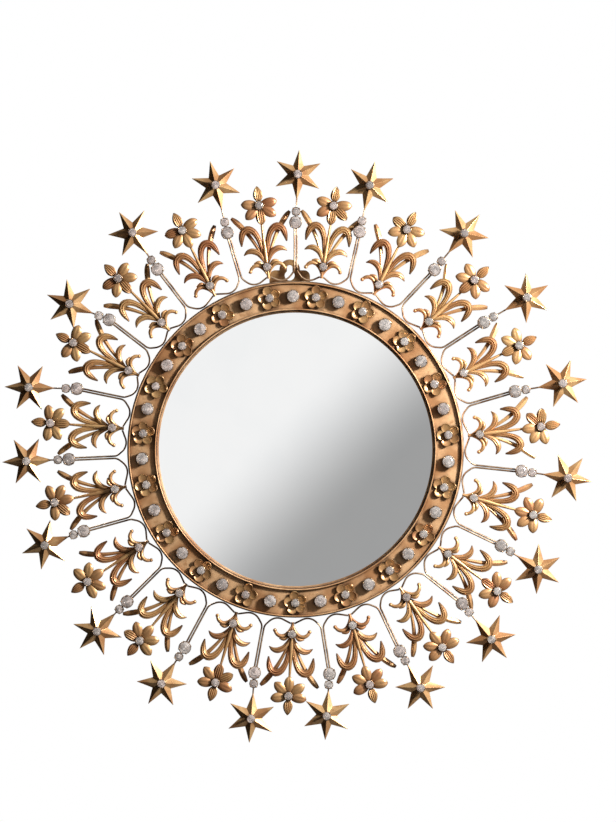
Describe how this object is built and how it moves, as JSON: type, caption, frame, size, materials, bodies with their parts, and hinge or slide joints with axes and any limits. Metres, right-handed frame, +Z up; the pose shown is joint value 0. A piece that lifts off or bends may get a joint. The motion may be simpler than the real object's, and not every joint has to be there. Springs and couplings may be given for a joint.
{
  "type": "convex mirror",
  "caption": "Wall-hung domed mirror in a gilt metal sunburst of bent-wire rays, faceted stars, leaf sprays with flowers and cut-glass stones, with a keyhole hanger.",
  "frame": {"origin": "on the mirror's axis, in the plane of the ring's back rim, which lies against the wall", "axes": "+Z is up the wall; +Y points into the wall, so the glass faces -Y; +X is to the right, seen from the front"},
  "size_m": [0.5924, 0.0425, 0.5958],
  "materials": {
    "gilt_ring": "antique gilt, matt",
    "gilt_wire": "antique gilt wire, dull",
    "gilt_leaf": "antique gilt, rubbed edges",
    "gilt_star": "antique gilt, satin",
    "gilt_claw": "pale gilt, bright",
    "dark_brass": "darkened brass",
    "screw_steel": "plain steel",
    "mirror_glass": "silvered",
    "cut_glass": "cut and polished",
    "packing": "matt",
    "board": "hardboard, smooth"
  },
  "bodies": {
    "frame": {"frame_ring": "gilt_ring", "ring_wall": "gilt_ring", "mirror_glass": "mirror_glass", "packing_ring": "packing", "backing_board": "board", "support_hoop": "gilt_wire", "hanger_plate": "dark_brass", "hanger_rivets": "dark_brass", "fixing_lugs": "dark_brass", "button_screws": "screw_steel", "ray_wires": "gilt_wire", "star_tangs": "gilt_wire", "foot_sprigs": "gilt_leaf", "spray_flowers": "gilt_leaf", "bud_leaves": "gilt_leaf", "ring_flowers": "gilt_leaf", "cut_stones": "cut_glass", "claw_settings": "gilt_claw", "star_01": "gilt_star", "star_02": "gilt_star", "star_03": "gilt_star", "star_04": "gilt_star", "star_05": "gilt_star", "star_06": "gilt_star", "star_07": "gilt_star", "star_08": "gilt_star", "star_09": "gilt_star", "star_10": "gilt_star", "star_11": "gilt_star", "star_12": "gilt_star", "star_13": "gilt_star", "star_14": "gilt_star", "star_15": "gilt_star", "star_16": "gilt_star", "star_17": "gilt_star", "star_18": "gilt_star", "star_19": "gilt_star", "leaf_spray_01": "gilt_leaf", "leaf_spray_02": "gilt_leaf", "leaf_spray_03": "gilt_leaf", "leaf_spray_04": "gilt_leaf", "leaf_spray_05": "gilt_leaf", "leaf_spray_06": "gilt_leaf", "leaf_spray_07": "gilt_leaf", "leaf_spray_08": "gilt_leaf", "leaf_spray_09": "gilt_leaf", "leaf_spray_10": "gilt_leaf", "leaf_spray_11": "gilt_leaf", "leaf_spray_12": "gilt_leaf", "leaf_spray_13": "gilt_leaf", "leaf_spray_14": "gilt_leaf", "leaf_spray_15": "gilt_leaf", "leaf_spray_16": "gilt_leaf", "leaf_spray_17": "gilt_leaf", "leaf_spray_18": "gilt_leaf", "leaf_spray_19": "gilt_leaf"},
    "turn_button_1": {"turn_button_1": "dark_brass"},
    "turn_button_2": {"turn_button_2": "dark_brass"},
    "turn_button_3": {"turn_button_3": "dark_brass"},
    "turn_button_4": {"turn_button_4": "dark_brass"}
  },
  "joints": [
    {"name": "turn_button_1_swing", "type": "hinge", "parent": "frame", "child": "turn_button_1", "pos_m": [0.11328, -0.01349, 0.11328], "axis": [0, -1, 0], "range_deg": [-95, 95]},
    {"name": "turn_button_2_swing", "type": "hinge", "parent": "frame", "child": "turn_button_2", "pos_m": [0.11328, -0.01349, -0.11328], "axis": [0, -1, 0], "range_deg": [-95, 95]},
    {"name": "turn_button_3_swing", "type": "hinge", "parent": "frame", "child": "turn_button_3", "pos_m": [-0.11328, -0.01349, -0.11328], "axis": [0, -1, 0], "range_deg": [-95, 95]},
    {"name": "turn_button_4_swing", "type": "hinge", "parent": "frame", "child": "turn_button_4", "pos_m": [-0.11328, -0.01349, 0.11328], "axis": [0, -1, 0], "range_deg": [-95, 95]}
  ]
}
